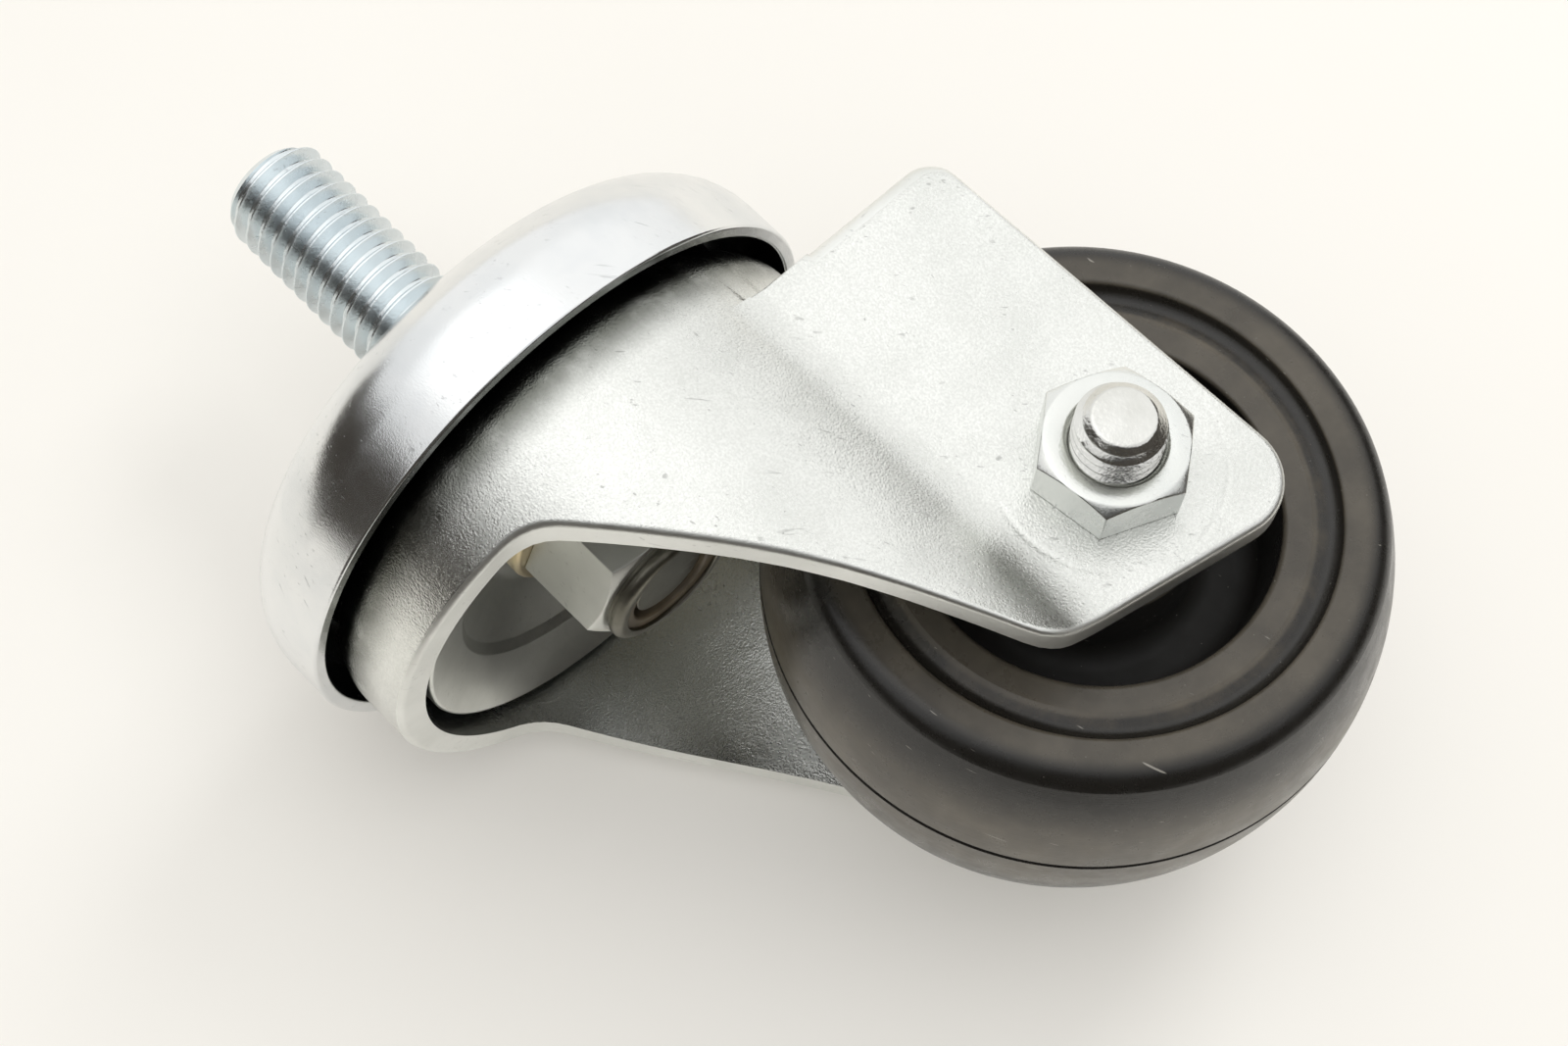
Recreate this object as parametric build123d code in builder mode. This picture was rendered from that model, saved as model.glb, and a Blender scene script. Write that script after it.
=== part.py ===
from build123d import *

import os
from math import cos, pi, radians, sqrt, tan

# A swivel castor with a threaded stem, upright, in millimetres.
# The origin is on the stem's axis at the cup's top face, +Z runs up the stem, the wheel trails towards +X
# and the axle runs along Y, with its nut on the -Y side.

# Stem: one turned piece, threaded above the cup and again below for the lock nut
stem_radius = 4.9  # M10, over the crests
stem_length = 26.0  # above the cup
stem_chamfer = 1.2
neck_radius = 4.5  # plain, where the stem passes the cup and the upper race
collar_radius = 8.0
collar_height = 2.0
spindle_radius = 5.0
kingpin_radius = 3.9  # M8, over the crests
kingpin_short = 0.6  # of the lock nut's end
kingpin_chamfer = 0.5

# Cup
cup_radius = 25.9
cup_height = 11.0
cup_wall = 1.2
cup_shoulder = 7.0

# Swivel bearing: pressed races and two rows of loose balls
race_wall = 1.3
ball_radius = 2.5
ball_pitch = 5.9  # from ball to ball, at least
ball_play = 0.05  # on each side of a ball
upper_ball_inset = 0.8  # from the crown's bend to the ball circle
upper_race_gap = 0.1  # from the race's edge down to the crown
lower_ball_inset = 0.5
lower_race_gap = 1.15  # round the dish, inside the skirt
track_slope = 21.8  # degrees, the dish's cone under the balls
track_width = 2.4  # from the ball circle in to the dish's step
dish_step = 0.7
dish_rise = 2.5  # from the step up to the hub
dish_hub = 9.5
dish_bend = 1.5
clamp_clearance = 0.05  # in the holes of clamped and threaded pieces

# Kingpin washer and lock nut
washer_radius = 8.2
washer_thickness = 1.8
washer_edge = 0.5
lock_nut_flats = 13.0
lock_nut_hexagon = 8.0
lock_nut_height = 9.5  # with its collar
lock_nut_turn = 51.4  # degrees, from +X to a corner
rim_inset = 0.3  # from the flats in to the rolled collar
rim_wall = 0.9
rim_lip = 0.3  # rolled over the nylon ring
rim_neck = 0.4  # groove between hexagon and collar
rim_bend = 0.7

# Fork: one pressed sheet
sheet = 2.4
skirt_gap = 2.3  # from the cup's outside in to the skirt's
crown_shoulder = 5.6
crown_gap = 2.0  # round the spindle
front_lip = 10.3  # below the crown's top
rear_lip = 9.4
plate_face = 19.3  # from the middle plane to a cheek plate's outer face
plate_top = 8.85  # below the crown's top
plate_bend = 7.0  # between round skirt and flat plate
knee_ahead = 11.0  # of the stem, where the arch turns down into the leg
knee_drop = 1.6  # below the front lip
knee_bend = 5.5
waist_ahead = 22.5  # of the axle
waist_rise = 7.8
waist_bend = 100.0
foot_ahead = 13.85
foot_drop = 7.4
foot_bend = 4.5
heel_behind = 10.5
heel_drop = 12.4
heel_bend = 5.0
plate_lean = 1.1  # of the rear edge, towards the stem at its top
plate_corner = 2.4

# Wheel: one moulding
trail = 24.2  # of the axle behind the stem
lip_gap = 2.4  # from the wheel up to the fork's rear lip
nut_gap = 1.2  # from the wheel to the lock nut, at least
wheel_radius = 25.0
wheel_half = 12.45
tread_crown = 31.9
tread_shoulder = 1.5
seam_depth = 0.3
seam_half = 0.2
ring_width = 3.4  # of the raised ring on the side, with its shoulder
cove_width = 2.3
cove_depth = 1.3
cove_bend = 1.1
cove_draft = 0.2
floor_drop = 0.8  # of the inner ring below the raised one
floor_width = 2.2
recess_draft = 0.9
web_half = 4.2
web_share = 0.42  # of the recess's width, for the bend on each side of the web
hub_wall = 3.5
hub_draft = 0.5
hub_play = 0.4  # from the hub's end to the plate
running_clearance = 0.06

# Axle: bolt, nut and the sleeve clamped between the plates
sleeve_radius = 5.0
axle_radius = 3.5  # M7
axle_end = 3.6  # past the nut
axle_chamfer = 1.1
hexagon_flats = 11.0
nut_height = 4.0
nut_turn = 37.0  # degrees, from +X to a corner
head_height = 4.8
hexagon_bevel = 30.0  # degrees
bevel_inset = 0.35  # of the bevel's circle inside the flats

# Radii and heights that follow, from the cup's top face down
skirt_radius = cup_radius - skirt_gap
skirt_inside = skirt_radius - sheet
stem_hole = stem_radius + clamp_clearance
kingpin_hole = kingpin_radius + clamp_clearance
axle_hole = axle_radius + clamp_clearance
upper_ball_circle = skirt_radius - crown_shoulder - upper_ball_inset
lower_ball_circle = skirt_radius - crown_shoulder - lower_ball_inset
race_top = -cup_wall
race_under = race_top - race_wall
upper_ball_z = race_under - ball_play - ball_radius
crown_top = upper_ball_z - ball_radius - ball_play
crown_under = crown_top - sheet
lower_ball_z = crown_under - ball_play - ball_radius
track_tan = tan(radians(track_slope))
track_cos = cos(radians(track_slope))
track_top = lower_ball_z - (ball_radius + ball_play) / track_cos
track_under = track_top - race_wall / track_cos
step_under = track_under + track_width * track_tan
hub_under = step_under + dish_step + dish_rise
hub_top = hub_under + race_wall
washer_under = hub_under - washer_thickness
hexagon_under = washer_under - lock_nut_hexagon
lock_nut_under = washer_under - lock_nut_height

# The axle hangs low enough for the wheel to clear both the rear lip and the lock nut
lock_nut_corner = lock_nut_flats / sqrt(3)
under_lip = crown_top - rear_lip - lip_gap - wheel_radius
under_nut = lock_nut_under - sqrt((wheel_radius + nut_gap) ** 2 - (trail - lock_nut_corner) ** 2)
axle_z = min(under_lip, under_nut)
plate_inside = plate_face - sheet
axle_across = Plane(origin=(trail, 0, axle_z), x_dir=(1, 0, 0), z_dir=(0, -1, 0))
axle_section = Plane(origin=(trail, 0, axle_z), x_dir=(0, 1, 0), z_dir=(1, 0, 0))
axle_line = Axis((trail, 0, axle_z), (0, 1, 0))

os.makedirs("parts", exist_ok=True)


def hexagon(base, flats, height, turn):
    """A hexagon standing on a plane, with the corners of its far face bevelled."""
    corner = flats / sqrt(3)
    face_circle = flats / 2 - bevel_inset
    bevel = (corner - face_circle) * tan(radians(hexagon_bevel))
    with BuildPart() as block:
        with BuildSketch(base):
            RegularPolygon(flats / 2, 6, major_radius=False, rotation=turn)
        extrude(amount=height)
        with BuildSketch(Plane(base.origin, x_dir=base.x_dir, z_dir=-base.y_dir)):
            with BuildLine():
                Polyline(
                    (0, 0),
                    (corner, 0),
                    (corner, height - bevel),
                    (face_circle, height),
                    (0, height),
                    close=True,
                )
            make_face()
        revolve(axis=Axis(base.origin, base.z_dir), mode=Mode.INTERSECT)
    return block.part


# The stem's collar holds the upper race against the cup, and its shoulder carries the dish.
with BuildPart() as stem:
    with BuildSketch(Plane.XZ):
        with BuildLine():
            kingpin_z = lock_nut_under + kingpin_short
            Polyline(
                (0, stem_length),
                (stem_radius - stem_chamfer, stem_length),
                (stem_radius, stem_length - stem_chamfer),
                (stem_radius, 0),
                (neck_radius, 0),
                (neck_radius, race_under),
                (collar_radius, race_under),
                (collar_radius, race_under - collar_height),
                (spindle_radius, race_under - collar_height),
                (spindle_radius, hub_top),
                (kingpin_radius, hub_top),
                (kingpin_radius, kingpin_z + kingpin_chamfer),
                (kingpin_radius - kingpin_chamfer, kingpin_z),
                (0, kingpin_z),
                close=True,
            )
        make_face()
    revolve(axis=Axis.Z)
stem.part.label = "stem"
export_step(stem.part, "parts/stem.step")

# The cup is drawn from thin sheet, with a round shoulder and a plain rim.
with BuildPart() as cup:
    with BuildSketch(Plane.XZ):
        with BuildLine():
            FilletPolyline(
                (stem_hole, 0),
                (cup_radius, 0),
                (cup_radius, -cup_height),
                (cup_radius - cup_wall, -cup_height),
                (cup_radius - cup_wall, -cup_wall),
                (stem_hole, -cup_wall),
                radius=[0, cup_shoulder, 0, 0, cup_shoulder - cup_wall, 0],
                close=True,
            )
        make_face()
    revolve(axis=Axis.Z)
cup.part.label = "cup"
export_step(cup.part, "parts/cup.step")

# The upper race is turned down round the outside of its balls.
with BuildPart() as upper_race:
    with BuildSketch(Plane.XZ):
        with BuildLine():
            race_bend = ball_radius + 2 * ball_play
            edge_radius = upper_ball_circle + race_bend
            edge_z = crown_top + upper_race_gap
            FilletPolyline(
                (stem_hole, race_top),
                (edge_radius + race_wall, race_top),
                (edge_radius + race_wall, edge_z),
                (edge_radius, edge_z),
                (edge_radius, race_under),
                (stem_hole, race_under),
                radius=[0, race_bend + race_wall, 0, 0, race_bend, 0],
                close=True,
            )
        make_face()
    revolve(axis=Axis.Z)
upper_race.part.label = "upper_race"
export_step(upper_race.part, "parts/upper_race.step")

# The balls run above and below the fork's crown.
with BuildPart(Plane.XY.offset(upper_ball_z)) as upper_balls:
    with PolarLocations(upper_ball_circle, int(2 * pi * upper_ball_circle / ball_pitch)):
        Sphere(ball_radius)
upper_balls.part.label = "upper_balls"
export_step(upper_balls.part, "parts/upper_balls.step")

with BuildPart(Plane.XY.offset(lower_ball_z)) as lower_balls:
    with PolarLocations(lower_ball_circle, int(2 * pi * lower_ball_circle / ball_pitch)):
        Sphere(ball_radius)
lower_balls.part.label = "lower_balls"
export_step(lower_balls.part, "parts/lower_balls.step")

# The fork's plan is a round skirt that bends out into two flat plates. Its crown is turned over the balls,
# and one outline from the side cuts the arch in front, the legs and the plates' corners.
with BuildPart() as fork:
    leg_bottom = axle_z - heel_drop
    plate_rear = trail + heel_behind
    plate_edge = crown_top - plate_top
    with BuildSketch(Plane.XY.offset(leg_bottom)) as outside:
        Circle(skirt_radius)
        with Locations((plate_rear / 2, 0)):
            Rectangle(plate_rear, 2 * plate_face)
        fillet(outside.vertices().group_by(Axis.X)[0], plate_bend)
    extrude(amount=plate_edge - leg_bottom)
    with BuildSketch(Plane.XY.offset(leg_bottom)) as inside:
        Circle(skirt_inside)
        with Locations((plate_rear, 0)):
            Rectangle(2 * plate_rear, 2 * plate_inside)
        fillet(inside.vertices().group_by(Axis.X)[0], plate_bend + sheet)
    extrude(amount=plate_edge - leg_bottom, mode=Mode.SUBTRACT)
    with BuildSketch(Plane.XZ):
        with BuildLine():
            FilletPolyline(
                (spindle_radius + crown_gap, crown_top),
                (skirt_radius, crown_top),
                (skirt_radius, crown_top - rear_lip),
                (skirt_inside, crown_top - rear_lip),
                (skirt_inside, crown_under),
                (spindle_radius + crown_gap, crown_under),
                radius=[0, crown_shoulder, 0, 0, crown_shoulder - sheet, 0],
                close=True,
            )
        make_face()
    revolve(axis=Axis.Z)
    with BuildSketch(Plane.XZ):
        with BuildLine():
            FilletPolyline(
                (-cup_radius, 0),
                (-cup_radius, crown_top - front_lip),
                (-knee_ahead, crown_top - front_lip - knee_drop),
                (trail - waist_ahead, axle_z + waist_rise),
                (trail - foot_ahead, axle_z - foot_drop),
                (plate_rear, leg_bottom),
                (plate_rear - plate_lean, plate_edge),
                (cup_radius, plate_edge),
                (cup_radius, 0),
                radius=[0, 0, knee_bend, waist_bend, foot_bend, heel_bend, plate_corner, 0, 0],
                close=True,
            )
        make_face()
    extrude(amount=cup_radius, both=True, mode=Mode.INTERSECT)
    with BuildSketch(axle_across):
        Circle(axle_hole)
    extrude(amount=cup_radius, both=True, mode=Mode.SUBTRACT)
fork.part.label = "fork"
export_step(fork.part, "parts/fork.step")

# The lower race is a dish: a flat hub, a short cone, a step and the track for the lower balls.
with BuildPart() as lower_race:
    with BuildSketch(Plane.XZ):
        with BuildLine():
            dish_radius = skirt_inside - lower_race_gap
            track_inside = lower_ball_circle - track_width
            edge_drop = (dish_radius - lower_ball_circle) * track_tan
            track_wall = track_top - track_under
            FilletPolyline(
                (kingpin_hole, hub_top),
                (dish_hub, hub_top),
                (track_inside - dish_step, step_under + dish_step + track_wall),
                (track_inside, step_under + track_wall),
                (dish_radius, track_top - edge_drop),
                (dish_radius, track_under - edge_drop),
                (track_inside, step_under),
                (track_inside - dish_step, step_under + dish_step),
                (dish_hub, hub_under),
                (kingpin_hole, hub_under),
                radius=[0, dish_bend, 0, 0, 0, 0, 0, 0, dish_bend, 0],
                close=True,
            )
        make_face()
    revolve(axis=Axis.Z)
lower_race.part.label = "lower_race"
export_step(lower_race.part, "parts/lower_race.step")

with BuildPart() as kingpin_washer:
    with BuildSketch(Plane.XZ):
        with BuildLine():
            FilletPolyline(
                (kingpin_hole, hub_under),
                (washer_radius, hub_under),
                (washer_radius, washer_under),
                (kingpin_hole, washer_under),
                radius=[0, washer_edge, washer_edge, 0],
                close=True,
            )
        make_face()
    revolve(axis=Axis.Z)
kingpin_washer.part.label = "kingpin_washer"
export_step(kingpin_washer.part, "parts/kingpin_washer.step")

# The lock nut's collar is rolled over a nylon ring.
rim_radius = lock_nut_flats / 2 - rim_inset
insert_radius = rim_radius - rim_wall
insert_under = lock_nut_under + rim_lip
lip_radius = insert_radius - rim_lip
lock_hexagon = hexagon(
    Plane(origin=(0, 0, washer_under), x_dir=(1, 0, 0), z_dir=(0, 0, -1)),
    lock_nut_flats,
    lock_nut_hexagon,
    -lock_nut_turn,
)
with BuildPart() as kingpin_nut:
    add(lock_hexagon)
    with BuildSketch(Plane.XZ):
        with BuildLine():
            FilletPolyline(
                (insert_radius, hexagon_under),
                (rim_radius - rim_neck, hexagon_under),
                (rim_radius - rim_neck, hexagon_under - rim_neck),
                (rim_radius, hexagon_under - rim_neck),
                (rim_radius, lock_nut_under),
                (lip_radius, lock_nut_under),
                (lip_radius, insert_under),
                (insert_radius, insert_under),
                radius=[0, 0, 0, rim_neck / 2, rim_bend, 0, 0, 0],
                close=True,
            )
        make_face()
    revolve(axis=Axis.Z)
    with BuildSketch(Plane.XY.offset(hexagon_under)):
        Circle(kingpin_hole)
    extrude(amount=lock_nut_hexagon, mode=Mode.SUBTRACT)
kingpin_nut.part.label = "kingpin_nut"
export_step(kingpin_nut.part, "parts/kingpin_nut.step")

with BuildPart() as nut_insert:
    with BuildSketch(Plane.XY.offset(insert_under)):
        Circle(insert_radius)
        Circle(kingpin_hole, mode=Mode.SUBTRACT)
    extrude(amount=hexagon_under - insert_under)
nut_insert.part.label = "nut_insert"
export_step(nut_insert.part, "parts/nut_insert.step")


def tread_height(y):
    """Radius of the crowned tread at a distance from the wheel's middle plane."""
    return wheel_radius - tread_crown + sqrt(tread_crown**2 - y**2)


# Half the wheel's section, from the parting line over the tread, the raised ring, the cove and the deep
# recess to the hub and its bore, is turned and mirrored.
with BuildPart() as wheel:
    with BuildSketch(axle_section) as section:
        tread_edge = (wheel_half, tread_height(wheel_half))
        ring_edge = tread_edge[1] - ring_width
        cove_floor = (wheel_half - cove_depth, ring_edge - cove_draft)
        floor_edge = ring_edge - cove_width
        recess_edge = floor_edge - floor_width
        recess_corner = (web_half, recess_edge - recess_draft)
        bore = sleeve_radius + running_clearance
        hub_corner = (web_half, bore + hub_wall + hub_draft)
        hub_half = plate_inside - hub_play
        web_bend = web_share * (recess_corner[1] - hub_corner[1])
        with BuildLine():
            seam_edge = (seam_half, tread_height(seam_half))
            ThreePointArc(seam_edge, (wheel_half / 2, tread_height(wheel_half / 2)), tread_edge)
            Polyline(
                tread_edge,
                (wheel_half, ring_edge),
                cove_floor,
                (wheel_half - floor_drop, floor_edge),
                (wheel_half - floor_drop, recess_edge),
                recess_corner,
                hub_corner,
                (hub_half, bore + hub_wall),
                (hub_half, bore),
                (0, bore),
                (0, wheel_radius - seam_depth),
                seam_edge,
            )
        make_face()
        fillet(section.vertices().sort_by_distance(tread_edge)[0], tread_shoulder)
        fillet(section.vertices().sort_by_distance(cove_floor)[0], cove_bend)
        fillet(section.vertices().sort_by_distance(recess_corner)[0], web_bend)
        fillet(section.vertices().sort_by_distance(hub_corner)[0], web_bend)
    revolve(axis=axle_line)
    mirror(about=Plane.XZ)
wheel.part.label = "wheel"
export_step(wheel.part, "parts/wheel.step")

# The bolt is tightened against the sleeve, so the plates grip it and the wheel runs free on it.
with BuildPart() as axle_sleeve:
    with BuildSketch(axle_across):
        Circle(sleeve_radius)
        Circle(axle_hole, mode=Mode.SUBTRACT)
    extrude(amount=plate_inside, both=True)
axle_sleeve.part.label = "axle_sleeve"
export_step(axle_sleeve.part, "parts/axle_sleeve.step")

bolt_head = hexagon(
    Plane(origin=(trail, plate_face, axle_z), x_dir=(1, 0, 0), z_dir=(0, 1, 0)),
    hexagon_flats,
    head_height,
    nut_turn,
)
with BuildPart() as axle_bolt:
    add(bolt_head)
    with BuildSketch(axle_section):
        with BuildLine():
            bolt_end = -plate_face - nut_height - axle_end
            Polyline(
                (plate_face, 0),
                (plate_face, axle_radius),
                (bolt_end + axle_chamfer, axle_radius),
                (bolt_end, axle_radius - axle_chamfer),
                (bolt_end, 0),
                close=True,
            )
        make_face()
    revolve(axis=axle_line)
axle_bolt.part.label = "axle_bolt"
export_step(axle_bolt.part, "parts/axle_bolt.step")

nut_face = axle_across.offset(plate_face)
nut_block = hexagon(nut_face, hexagon_flats, nut_height, nut_turn)
with BuildPart() as axle_nut:
    add(nut_block)
    with BuildSketch(nut_face):
        Circle(axle_hole)
    extrude(amount=nut_height, mode=Mode.SUBTRACT)
axle_nut.part.label = "axle_nut"
export_step(axle_nut.part, "parts/axle_nut.step")
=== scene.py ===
# %% [markdown]
# # A swivel castor, dressed for its portrait
#
# The castor lies on its side on pale paper: a threaded stem, a bright domed cup over two rows of balls, a
# pressed sheet fork and a dark moulded wheel on a bolt. Its sizes and its moving bodies are already fixed by
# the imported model. This script gives each piece the edges, threads and finishes that the eye expects, and
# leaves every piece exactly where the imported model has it.

from math import atan2, ceil, cos, degrees, hypot, pi, radians, sin, sqrt, tan

import bpy
from mathutils import Matrix, Vector


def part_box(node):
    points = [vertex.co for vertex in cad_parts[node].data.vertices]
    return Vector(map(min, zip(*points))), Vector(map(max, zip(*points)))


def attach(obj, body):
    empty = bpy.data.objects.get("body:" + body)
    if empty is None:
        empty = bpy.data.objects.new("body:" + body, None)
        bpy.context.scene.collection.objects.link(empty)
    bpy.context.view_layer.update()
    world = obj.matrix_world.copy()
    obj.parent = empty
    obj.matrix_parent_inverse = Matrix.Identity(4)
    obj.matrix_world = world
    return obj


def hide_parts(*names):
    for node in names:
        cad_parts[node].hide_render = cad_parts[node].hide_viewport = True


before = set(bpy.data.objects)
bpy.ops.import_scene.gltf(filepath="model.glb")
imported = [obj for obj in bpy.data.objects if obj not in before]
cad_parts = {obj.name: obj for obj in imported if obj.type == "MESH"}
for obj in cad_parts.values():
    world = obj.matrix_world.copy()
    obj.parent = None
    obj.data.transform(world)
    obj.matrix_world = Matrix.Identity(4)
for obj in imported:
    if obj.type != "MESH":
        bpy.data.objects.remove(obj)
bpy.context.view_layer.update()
print("nodes", sorted(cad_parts))

# %% [markdown]
# ## Drawing a section by hand
#
# Most of a castor is turned or pressed, so most pieces start as a section: a line through a few corners, with
# a small bend at each one, because no pressed or moulded edge is truly sharp. A section could be a curve
# object, but a line of vertices can be spun at once. Everything is drawn in millimetres and brought to metres
# when the piece is done.

# %% A line with bent corners
ARC_STEP = 7.5  # degrees between points on a bend


def rounded(corners):
    """Points through (across, up, bend) corners of a closed line, with an arc at each corner that has a bend."""
    points = []
    for i, (across, up, bend) in enumerate(corners):
        here = Vector((across, up))
        if not bend:
            points.append(here)
            continue
        back = (Vector(corners[i - 1][:2]) - here).normalized()
        ahead = (Vector(corners[(i + 1) % len(corners)][:2]) - here).normalized()
        half = back.angle(ahead) / 2
        middle = here + (back + ahead).normalized() * bend / sin(half)
        first = here + back * bend / tan(half) - middle
        last = here + ahead * bend / tan(half) - middle
        start = atan2(first.y, first.x)
        sweep = (atan2(last.y, last.x) - start + pi) % (2 * pi) - pi
        count = max(3, ceil(degrees(abs(sweep)) / ARC_STEP))
        for k in range(count + 1):
            angle = start + sweep * k / count
            points.append(middle + bend * Vector((cos(angle), sin(angle))))
    return points


print("a square with one bend has", len(rounded([(0, 0, 0), (1, 0, 0), (1, 1, 0.2), (0, 1, 0)])), "points")

# %% Draw, turn and cut
MILLIMETRE = 0.001
SHARP_EDGE = 30  # degrees, the least that gets a broken edge
SMOOTH_EDGE = 32  # degrees, the most that is shaded smooth


def pick(piece, wanted):
    """Selects, in edit mode, the vertices whose place passes a test, and nothing else."""
    bpy.ops.object.mode_set(mode="EDIT")
    bpy.ops.mesh.select_mode(type="VERT")
    bpy.ops.mesh.select_all(action="DESELECT")
    bpy.ops.object.mode_set(mode="OBJECT")
    for vertex in piece.data.vertices:
        vertex.select = wanted(vertex.co)
    bpy.ops.object.mode_set(mode="EDIT")


def draw(name, points, closed=True):
    """A line made by hand: one vertex, extruded from point to point."""
    points = [Vector(p) for p in points]
    bpy.ops.object.select_all(action="DESELECT")
    bpy.ops.mesh.primitive_plane_add(size=1, location=points[0])
    line = bpy.context.object
    line.name = name
    bpy.ops.object.transform_apply(location=True, rotation=True, scale=True)
    bpy.ops.object.mode_set(mode="EDIT")
    bpy.ops.mesh.select_mode(type="VERT")
    bpy.ops.mesh.merge(type="CENTER")
    stops = points + points[:1] if closed else points
    for here, there in zip(stops, stops[1:]):
        bpy.ops.mesh.extrude_region_move(TRANSFORM_OT_translate={"value": there - here})
    bpy.ops.mesh.select_all(action="SELECT")
    bpy.ops.mesh.remove_doubles(threshold=1e-4)
    bpy.ops.object.mode_set(mode="OBJECT")
    return line


def close_up(piece):
    """Merges doubles, drops the line along the axis and turns the faces outwards."""
    bpy.ops.object.mode_set(mode="EDIT")
    bpy.ops.mesh.select_all(action="SELECT")
    bpy.ops.mesh.remove_doubles(threshold=1e-3)
    bpy.ops.mesh.delete_loose()
    bpy.ops.mesh.select_all(action="SELECT")
    bpy.ops.mesh.normals_make_consistent(inside=False)
    bpy.ops.object.mode_set(mode="OBJECT")
    return piece


def turned(name, corners, steps=128):
    """A piece turned about Z from a section of (radius, height, bend) corners."""
    piece = draw(name, [(p.x, 0, p.y) for p in rounded(corners)])
    bpy.ops.object.mode_set(mode="EDIT")
    bpy.ops.mesh.select_all(action="SELECT")
    bpy.ops.mesh.spin(steps=steps, angle=2 * pi, center=(0, 0, 0), axis=(0, 0, 1))
    bpy.ops.object.mode_set(mode="OBJECT")
    return close_up(piece)


def cut(piece, tool, operation):
    """Joins, cuts or keeps what two closed pieces share, and throws the tool away."""
    bpy.ops.object.select_all(action="DESELECT")
    bpy.context.view_layer.objects.active = piece
    piece.select_set(True)
    bpy.ops.object.modifier_add(type="BOOLEAN")
    modifier = piece.modifiers[-1]
    modifier.operation = operation
    modifier.object = tool
    modifier.solver = "EXACT"
    bpy.ops.object.modifier_apply(modifier=modifier.name)
    bpy.data.objects.remove(tool)
    return piece


def break_edges(piece, width):
    """Bevels every sharp edge a little, as tumbling and plating do."""
    bpy.ops.object.select_all(action="DESELECT")
    bpy.context.view_layer.objects.active = piece
    piece.select_set(True)
    bpy.ops.object.modifier_add(type="BEVEL")
    modifier = piece.modifiers[-1]
    modifier.width = width
    modifier.segments = 2
    modifier.limit_method = "ANGLE"
    modifier.angle_limit = radians(SHARP_EDGE)
    modifier.use_clamp_overlap = False
    bpy.ops.object.modifier_apply(modifier=modifier.name)
    return piece


def place(piece, location=(0, 0, 0), turn=(0, 0, 0)):
    """Turns a piece, then moves it, and keeps both in its mesh."""
    bpy.ops.object.select_all(action="DESELECT")
    bpy.context.view_layer.objects.active = piece
    piece.select_set(True)
    piece.rotation_euler = [radians(t) for t in turn]
    piece.location = location
    bpy.ops.object.transform_apply(location=True, rotation=True, scale=True)
    return piece


def hand_over(piece, node, body, finish):
    """Brings a finished piece to metres, gives it its finish and lets it stand for its node on a body."""
    bpy.ops.object.select_all(action="DESELECT")
    bpy.context.view_layer.objects.active = piece
    piece.select_set(True)
    piece.scale = (MILLIMETRE, MILLIMETRE, MILLIMETRE)
    bpy.ops.object.transform_apply(location=True, rotation=True, scale=True)
    bpy.ops.object.shade_smooth_by_angle(angle=radians(SMOOTH_EDGE))
    bpy.ops.object.modifier_add(type="WEIGHTED_NORMAL")
    modifier = piece.modifiers[-1]
    modifier.keep_sharp = True
    bpy.ops.object.modifier_apply(modifier=modifier.name)
    piece.data.materials.clear()
    piece.data.materials.append(bpy.data.materials[finish + "_finish"])
    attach(piece, body)
    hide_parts(node)
    low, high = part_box(node)
    places = [v.co for v in piece.data.vertices]
    over = max(
        max(low[axis] - min(p[axis] for p in places), max(p[axis] for p in places) - high[axis])
        for axis in range(3)
    )
    print(piece.name, "faces", len(piece.data.polygons), "past its node by", round(1000 * over, 3), "mm")


# %% [markdown]
# ## Finishes
#
# Zinc plate is what the picture is about: bright and nearly mirror-like on the cup, satin and grainy on the
# fork, bluish on the stem. Each finish is a Principled surface whose colour, roughness and bump vary with
# noise of the right size, read from Object coordinates, so that the grain stays with the piece when it moves.
# Photographed textures would be quicker, but they would need files and would not scale.

# %% Small node helpers


def put(tree, kind, inputs=None, **settings):
    """Adds a node, sets it, and links or fills its inputs."""
    made = tree.nodes.new(kind)
    for name, value in settings.items():
        setattr(made, name, value)
    for name, value in (inputs or {}).items():
        if isinstance(value, bpy.types.NodeSocket):
            tree.links.new(value, made.inputs[name])
        else:
            made.inputs[name].default_value = value
    return made


def new_finish(name, metallic, roughness, colour):
    """A Principled surface with its steady values set, and the piece's own coordinates."""
    material = bpy.data.materials.new(name + "_finish")
    material.use_nodes = True
    tree = material.node_tree
    surface = tree.nodes["Principled BSDF"]
    surface.inputs["Metallic"].default_value = metallic
    surface.inputs["Roughness"].default_value = roughness
    surface.inputs["Base Color"].default_value = (*colour, 1)
    material.diffuse_color = (*colour, 1)
    spot = put(tree, "ShaderNodeTexCoord").outputs["Object"]
    return tree, surface, spot


def grain(tree, spot, size, detail=3.0, rough=0.5, stretch=(1, 1, 1), turn=(0, 0, 0)):
    """Noise whose lumps are about that many millimetres, and so many times longer along each turned axis."""
    where = put(tree, "ShaderNodeMapping", {"Vector": spot, "Scale": stretch}, vector_type="TEXTURE")
    where.inputs["Rotation"].default_value = [radians(t) for t in turn]
    settings = {"Vector": where.outputs[0], "Scale": 1000 / size, "Detail": detail, "Roughness": rough}
    return put(tree, "ShaderNodeTexNoise", settings).outputs["Fac"]


def span(tree, value, low, high, to_low=0.0, to_high=1.0):
    """Eases a value from one span into another."""
    settings = {"Value": value, "From Min": low, "From Max": high, "To Min": to_low, "To Max": to_high}
    return put(tree, "ShaderNodeMapRange", settings, interpolation_type="SMOOTHSTEP").outputs["Result"]


def maths(tree, operation, first, second):
    """One sum on two values."""
    return put(tree, "ShaderNodeMath", {0: first, 1: second}, operation=operation).outputs[0]


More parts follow.
